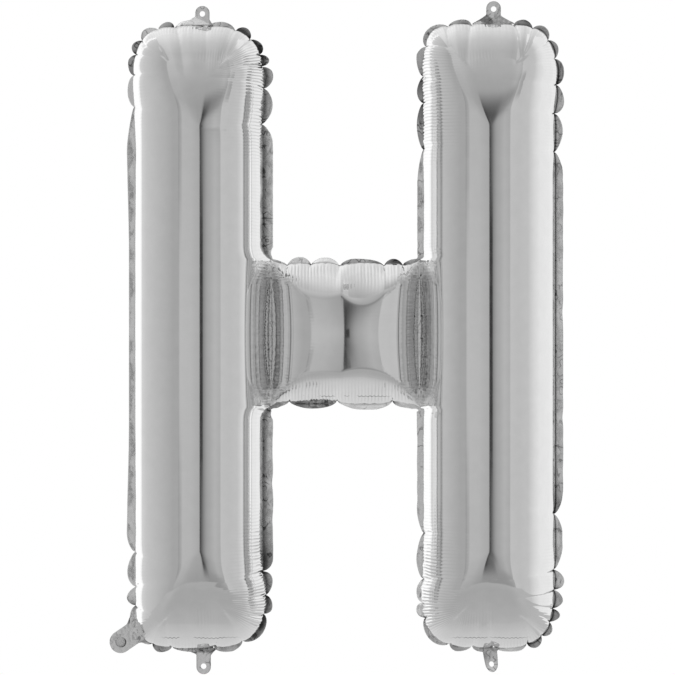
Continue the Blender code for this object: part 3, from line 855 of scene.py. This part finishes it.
class Nodes:
    """Short way to lay out a node tree."""

    def __init__(self, tree):
        self.tree = tree

    def node(self, kind, **settings):
        made = self.tree.nodes.new("ShaderNode" + kind)
        for key, value in settings.items():
            setattr(made, key, value)
        return made

    def feed(self, socket, value):
        if isinstance(value, bpy.types.NodeSocket):
            self.tree.links.new(value, socket)
        else:
            socket.default_value = value

    def math(self, operation, *values, clamp=False):
        made = self.node("Math", operation=operation, use_clamp=clamp)
        for socket, value in zip(made.inputs, values):
            self.feed(socket, value)
        return made.outputs[0]

    def times(self, first, *others):
        for other in others:
            first = self.math("MULTIPLY", first, other)
        return first

    def plus(self, first, second, clamp=False):
        return self.math("ADD", first, second, clamp=clamp)

    def minus(self, first, second, clamp=False):
        return self.math("SUBTRACT", first, second, clamp=clamp)

    def larger(self, first, second):
        return self.math("MAXIMUM", first, second)

    def size(self, value):
        return self.math("ABSOLUTE", value)

    def above_zero(self, value):
        return self.math("GREATER_THAN", value, 0.0)

    def ratio(self, value, other):
        return self.math("DIVIDE", value, self.larger(other, 0.0001))

    def dimmed(self, tone, mask, share):
        """A tone with a share of it taken away where the mask is 1."""
        return self.times(tone, self.minus(1.0, self.times(mask, share)))

    def parts(self, vector):
        """The three coordinates of a vector."""
        split = self.node("SeparateXYZ")
        self.feed(split.inputs[0], vector)
        return split.outputs

    def object_place(self):
        return self.node("TexCoord").outputs["Object"]

    def attribute(self, name):
        return self.node("Attribute", attribute_name=name).outputs["Fac"]

    def camera_ray(self):
        return self.node("LightPath").outputs["Is Camera Ray"]

    def noise(self, place, scale):
        """Soft noise over a place, about 0.3 to 0.7. Returns its node."""
        texture = self.node("TexNoise")
        self.feed(texture.inputs["Vector"], place)
        self.feed(texture.inputs["Scale"], scale)
        return texture

    def relief(self, shader, height, distance):
        """Bends a shader's normals by a height."""
        made = self.node("Bump")
        made.inputs["Distance"].default_value = distance
        self.feed(made.inputs["Height"], height)
        self.feed(shader.inputs["Normal"], made.outputs[0])

    def spread(self, value, limits, ends=(0.0, 1.0), **settings):
        """A value's own range drawn out to run between two ends."""
        made = self.node("MapRange", **settings)
        self.feed(made.inputs["Value"], value)
        for name, number in zip(("From Min", "From Max", "To Min", "To Max"), limits + ends):
            made.inputs[name].default_value = number
        return made.outputs[0]

    def bump(self, value, low, high, soft):
        """1 between low and high, falling off softly outside."""
        rise = self.spread(value, (low - soft[0], low), interpolation_type="SMOOTHSTEP")
        fall = self.spread(value, (high, high + soft[1]), (1.0, 0.0),
                           interpolation_type="SMOOTHSTEP")
        return self.times(rise, fall)

    def ramp(self, value, stops, change=level):
        """A colour ramp over a value's own range, its tones given as (value, tone)."""
        low = stops[0][0]
        high = stops[-1][0]
        ramp = self.node("ValToRGB")
        elements = ramp.color_ramp.elements
        while len(elements) < len(stops):
            elements.new(0.5)
        for element, (place, tone) in zip(elements, stops):
            element.position = (place - low) / (high - low)
            shade = change(tone)
            element.color = (shade, shade, shade, 1.0)
        self.feed(ramp.inputs[0], self.spread(value, (low, high)))
        return ramp.outputs[0]

    def blend(self, factor, first, second):
        mix = self.node("Mix", data_type="FLOAT")
        self.feed(mix.inputs[0], factor)
        self.feed(mix.inputs[2], first)
        self.feed(mix.inputs[3], second)
        return mix.outputs[0]


def new_material(name, metallic):
    """A material, its Nodes and its main shader."""
    material = bpy.data.materials.new(name)
    material.use_nodes = True
    shader = material.node_tree.nodes["Principled BSDF"]
    shader.inputs["Metallic"].default_value = metallic
    return material, Nodes(material.node_tree), shader


def wall_tones(n, x, y, z):
    """The tone of the room's walls in each direction, each wall's along its own length.

    Also returns where a direction meets the plane of the front wall.
    """
    ax, ay, az = [n.size(value) for value in (x, y, z)]
    rightwards, backwards, upwards = [n.above_zero(value) for value in (x, y, z)]
    front_x, front_z = n.ratio(x, ay), n.ratio(z, ay)
    level_x, level_y = n.ratio(x, az), n.ratio(y, az)
    side_y = n.ratio(y, ax)

    across = n.ramp(front_x, [
        (-0.8, 166), (-0.72, 180), (-0.3, 177), (-0.06, 168), (0.0, 166), (0.3, 168),
        (0.5, 175), (0.7, 170), (0.8, 166)])
    upright = n.ramp(front_z, [
        (-2.6, 172), (-1.3, 170), (-0.9, 165), (-0.55, 158), (-0.42, 162), (-0.25, 168),
        (-0.09, 171), (0.0, 178), (0.09, 169), (0.3, 162), (0.6, 168), (1.0, 176), (1.8, 183),
        (2.4, 184)])
    front = n.math("DIVIDE", n.times(across, upright), level(FRONT_TONE))
    left_wall = n.ramp(side_y, [
        (-1.28, 160), (-0.87, 161), (-0.6, 168), (-0.3, 176), (-0.1, 181), (0.3, 192),
        (0.6, 206), (0.68, 244), (0.86, 250), (1.4, 252)])
    right_wall = n.ramp(side_y, [
        (-1.28, 186), (-0.73, 183), (-0.33, 187), (-0.09, 208), (0.16, 222), (0.49, 225),
        (0.86, 226), (1.4, 226)])
    below = n.ramp(level_y, [(-0.46, 172), (-0.2, 178), (0.0, 188), (0.3, 198)])
    raked = n.ramp(level_x, [
        (-0.7, 1.04), (-0.24, 1.15), (0.0, 1.0), (0.24, 0.88), (0.7, 1.0)], float)
    above = n.ramp(level_y, [
        (-0.42, 173), (-0.37, 176), (-0.24, 181), (-0.1, 187), (0.05, 196), (0.25, 206),
        (0.54, 213), (0.63, 214)])
    behind = n.ramp(front_x, [
        (-1.2, 255), (-0.36, 246), (-0.3, 214), (0.0, 205), (0.3, 214), (0.36, 226),
        (1.2, 230)])
    rise = n.size(front_z)
    steep = n.times(n.ramp(rise, [(0.5, 224), (1.0, 219), (1.7, 214)]), raked)
    behind = n.blend(n.bump(rise, -1.0, 0.45, (0.1, 0.45)), steep, behind)

    to_side = n.math("DIVIDE", ax, n.blend(rightwards, *LEFT_AND_RIGHT))
    to_level = n.math("DIVIDE", az, n.blend(upwards, *FLOOR_AND_CEILING))
    to_deep = n.math("DIVIDE", ay, n.blend(backwards, *FRONT_AND_BACK))
    side_wins = n.math("GREATER_THAN", to_side, n.larger(to_level, to_deep))
    level_wins = n.math("GREATER_THAN", to_level, n.larger(to_side, to_deep))
    level_tone = n.blend(upwards, below, n.times(above, raked))
    deep_tone = n.blend(backwards, front, behind)
    side_tone = n.blend(rightwards, left_wall, right_wall)
    tone = n.blend(side_wins, n.blend(level_wins, deep_tone, level_tone), side_tone)
    return tone, front_x, front_z


def studio():
    """A white room with softbox walls, dark where the lens looks in between two of them."""
    world = bpy.data.worlds.new("studio")
    bpy.context.scene.world = world
    world.use_nodes = True
    world.node_tree.nodes.clear()
    n = Nodes(world.node_tree)
    x, y, z = n.parts(n.node("TexCoord").outputs["Generated"])
    tone, front_x, front_z = wall_tones(n, x, y, z)

    # The gap between the two front softboxes: a core, a soft slot round it, and the lens
    facing = n.math("LESS_THAN", y, 0.0)
    core = n.ramp(front_x, [
        (-0.022, 0.0), (-0.006, 1.0), (0.0, 0.97), (0.054, 0.6), (0.1, 0.0)], float)
    core = n.times(core, n.bump(front_z, -0.22, 0.16, (0.28, 0.38)))
    slot = n.ramp(front_x, [
        (-0.022, 0.0), (-0.006, 1.0), (0.0, 0.97), (0.054, 0.725), (0.114, 0.45), (0.176, 0.235),
        (0.238, 0.12), (0.302, 0.07), (0.366, 0.035), (0.46, 0.0)], float)
    slot = n.times(slot, n.bump(front_z, -0.08, 0.16, (0.34, 0.36)))
    lens = n.times(n.bump(front_x, 0.0, 0.072, (0.02, 0.03)),
                   n.bump(front_z, -0.028, 0.028, (0.02, 0.02)))
    gap = n.times(n.larger(n.larger(core, slot), lens), facing)

    # Dimmer places beside it: by the right softbox, at its far edge and at the left one's ends
    shade = n.times(n.bump(front_x, 0.1, 0.5, (0.16, 0.25)),
                    n.plus(n.bump(front_z, 0.2, 0.3, (0.16, 0.3)),
                           n.times(n.bump(front_z, -0.5, -0.4, (0.2, 0.2)), 0.6)), facing)
    rim = n.times(n.bump(front_x, 1.02, 1.15, (0.45, 0.01)),
                  n.bump(front_z, 0.26, 0.6, (0.16, 0.35)), facing)
    left_ends = n.times(n.bump(front_x, -0.8, -0.7, (0.01, 0.1)),
                        n.bump(n.size(front_z), 0.05, 0.16, (0.03, 0.2)), facing)
    for mask, share in ((gap, 0.9), (shade, 0.28), (rim, 0.3), (left_ends, 0.2)):
        tone = n.dimmed(tone, mask, share)

    background = n.node("Background")
    background.inputs["Color"].default_value = (1.0, 1.0, 1.0, 1.0)
    n.feed(background.inputs["Strength"],
           n.blend(n.camera_ray(), n.times(tone, STUDIO_LIGHT), 1.0))
    n.feed(n.node("OutputWorld").inputs[0], background.outputs[0])


def camera():
    """A long lens straight in front, framed as the photo is."""
    data = bpy.data.cameras.new("camera")
    data.sensor_width = 36.0
    frame_width = 0.979
    distance = 6.0
    data.lens = data.sensor_width * distance / frame_width
    eye = bpy.data.objects.new("camera", data)
    bpy.context.scene.collection.objects.link(eye)
    eye.location = (-0.0109, -distance, 0.0007)
    eye.rotation_euler = (math.pi / 2, 0.0, 0.0)
    bpy.context.scene.camera = eye


def pale_floor():
    """A pale floor under the letter that glows by itself: painted light, dimmer in front, where the
    lights don't reach it.
    """
    bm = bmesh.new()
    bmesh.ops.create_grid(bm, x_segments=1, y_segments=1, size=1.6)
    bmesh.ops.translate(bm, vec=(0.0, 0.44, FLOOR_Z), verts=bm.verts)
    material, n, shader = new_material("floor", 0.0)
    shader.inputs["Base Color"].default_value = (0.0, 0.0, 0.0, 1.0)
    shader.inputs["Specular IOR Level"].default_value = 0.0
    shader.inputs["Emission Color"].default_value = (1.0, 1.0, 1.0, 1.0)
    x, y, _ = n.parts(n.object_place())
    deep = n.ramp(y, [
        (-1.16, 165), (-0.9, 160), (-0.55, 162), (-0.36, 167), (-0.24, 171), (-0.2, 178),
        (-0.05, 188), (0.12, 195), (0.5, 202), (1.2, 210)])
    aside = n.minus(1.0, n.bump(n.size(x), -1.0, 0.45, (0.1, 0.5)))
    tone = n.blend(n.times(aside, 0.8), deep, level(173))
    # The floor's glow is painted light: a tone by place for rays that don't come from the camera,
    # plain white to the camera.
    n.feed(shader.inputs["Emission Strength"],
           n.blend(n.camera_ray(), n.times(tone, STUDIO_LIGHT), 1.0))
    ground = mesh_object("floor", bm, material)


def bright_foil():
    """Mirror film: fine ribs along the seam and a faint grain, with painted shade in the ribs'
    valleys, beside the welds and in dashes along the bottoms.
    """
    material, n, shader = new_material("bright_foil", 1.0)
    run = n.parts(n.node("UVMap", uv_map="Seam").outputs[0])[0]
    strength = n.attribute("rib")
    place = n.object_place()

    wander = n.times(n.minus(n.noise(place, 18.0).outputs[0], 0.5), 7.0)
    wave = n.math("SINE", n.plus(n.times(run, 2.0 * math.pi / RIB_PITCH), wander))
    patch = n.minus(n.noise(place, 14.0).outputs[0], 0.35, clamp=True)
    uneven = n.plus(0.35, n.times(patch, 3.0))
    height = n.times(n.times(wave, strength), n.times(uneven, RIB_HEIGHT))
    n.relief(shader, height, 1.0)

    grain = n.noise(place, 60.0).outputs[0]
    n.feed(shader.inputs["Roughness"], n.ramp(grain, [(0.3, 0.045), (0.7, 0.075)], float))
    plain = n.ramp(grain, [(0.3, 0.88), (0.7, 0.91)], float)
    # Painted shade darkens the colour: in the ribs' valleys, beside the welds, ribbed there too,
    # and in the crease dashes.
    painted_valley_shade = n.times(n.times(strength, uneven), n.minus(0.0, wave, clamp=True))
    beside = n.times(n.attribute("painted_dim"), n.plus(0.42, n.times(wave, 0.2)))
    dark = n.plus(n.times(painted_valley_shade, 0.17), beside)
    dark = n.plus(dark, n.times(painted_crease_dashes(n, place), 0.55), clamp=True)
    n.feed(shader.inputs["Base Color"], n.times(plain, n.minus(1.0, dark)))
    return material


def painted_crease_dashes(n, place):
    """Painted shade of fine zigzag creases, broken into dashes, along the bottoms of the legs and
    crossbar.
    """
    x, _, z = n.parts(place)
    turns = n.math("PINGPONG", n.times(x, 1.0 / 0.003), 1.0)
    slow = n.noise(place, 30.0).outputs[0]
    shift = n.times(n.minus(slow, 0.5), 0.006)
    height = n.plus(z, n.plus(shift, n.times(turns, 0.0014)))
    lines = []
    for middle, low, high in ((-0.4306, 0.168, 0.25), (-0.0834, -1.0, 0.052)):
        off = n.size(n.minus(height, middle))
        lines.append(n.times(n.bump(off, -1.0, 0.00025, (0.1, 0.0006)),
                             n.bump(n.size(x), low, high, (0.02, 0.02))))
    dashed = n.ramp(slow, [(0.44, 0.0), (0.5, 1.0), (1.0, 1.0)], float)
    return n.times(n.larger(*lines), dashed)


def crinkle_group():
    """Creased film: a height, and thin lines of painted shade along the folds, which come in
    patches.
    """
    group = bpy.data.node_groups.new("Crinkle", "ShaderNodeTree")
    for name, way in (("Scale", "INPUT"), ("Height", "OUTPUT"), ("Lines", "OUTPUT")):
        group.interface.new_socket(name, in_out=way, socket_type="NodeSocketFloat")
    n = Nodes(group)
    scale = group.nodes.new("NodeGroupInput").outputs["Scale"]
    place = n.object_place()
    folds = []
    for share in (1.0, 2.6, 0.22):
        texture = n.noise(place, n.times(scale, share))
        texture.inputs["Detail"].default_value = 0.0
        folds.append(n.size(n.minus(texture.outputs[0], 0.5)))
    coarse, fine, patch = folds
    done = group.nodes.new("NodeGroupOutput")
    n.feed(done.inputs["Height"], n.plus(n.times(coarse, 0.8), n.times(fine, 0.1)))
    # The lines are painted shade along the folds, in patches.
    line = n.ramp(coarse, [(0.0, 1.0), (0.024, 1.0), (0.06, 0.0)], float)
    patches = n.ramp(patch, [(0.0, 1.0), (0.03, 1.0), (0.06, 0.0)], float)
    n.feed(done.inputs["Lines"], n.times(line, patches))
    return group


def creased(n, shader, group, scale, distance):
    """Creases a shader at a scale. Returns the creases' height and their lines of painted shade."""
    node = n.node("Group")
    node.node_tree = group
    node.inputs["Scale"].default_value = scale
    n.relief(shader, node.outputs["Height"], distance)
    return node.outputs["Height"], node.outputs["Lines"]


def sealed_foil(group):
    """The doubled, pressed film: duller, creased all over, and dark in its folds and elsewhere by
    painted shade.
    """
    material, n, shader = new_material("sealed_foil", 1.0)
    height, lines = creased(n, shader, group, 115.0, 0.0011)
    # Painted shade from the fold attribute and the crease lines darkens the colour.
    dark = n.plus(n.attribute("fold"), n.times(lines, 0.38), clamp=True)
    n.feed(shader.inputs["Base Color"],
           n.ramp(dark, [(0.0, 0.97), (0.35, 0.56), (0.7, 0.2), (1.0, 0.05)], float))
    n.feed(shader.inputs["Roughness"], n.ramp(height, [(0.0, 0.28), (0.25, 0.22)], float))
    return material


def valve_film(group):
    """Cloudy plastic film with a soft gloss and faint creases, with painted shade in their lines.
    """
    material, n, shader = new_material("valve_film", 0.0)
    height, lines = creased(n, shader, group, 260.0, 0.0006)
    n.feed(shader.inputs["Base Color"], n.ramp(lines, [(0.0, 0.82), (1.0, 0.6)], float))
    n.feed(shader.inputs["Roughness"], n.ramp(height, [(0.0, 0.42), (0.25, 0.3)], float))
    return material


def main():
    bpy.context.scene.view_settings.view_transform = "Standard"
    camera()
    studio()
    pale_floor()
    foil = bright_foil()
    legs = []
    for side, word, gathers, seed in ((-1.0, "left", LEFT_LEG_GATHERS, 11),
                                      (1.0, "right", RIGHT_LEG_GATHERS, 12)):
        line = SeamLine(leg_line(side), gathers, seed)
        legs.append(line)
        skin(word + "_leg", lambda across, along: leg_shape(side, across, along), spaced(),
             leg_rows(), line, leg_ribs, foil)
    bar = SeamLine(bar_line(), BAR_GATHERS, 13)
    skin("crossbar", bar_shape, spaced(), spaced(), bar, bar_ribs, foil)
    crinkle = crinkle_group()
    sealed = sealed_foil(crinkle)
    sealed_border(outline_of_letter(legs, bar), sealed)
    for side, word in ((-1.0, "left"), (1.0, "right")):
        weld_strip(side, word, sealed)
    for name in TABS:
        tab(name, sealed)
    inflation_tail(sealed)
    valve_window(valve_film(crinkle))


main()
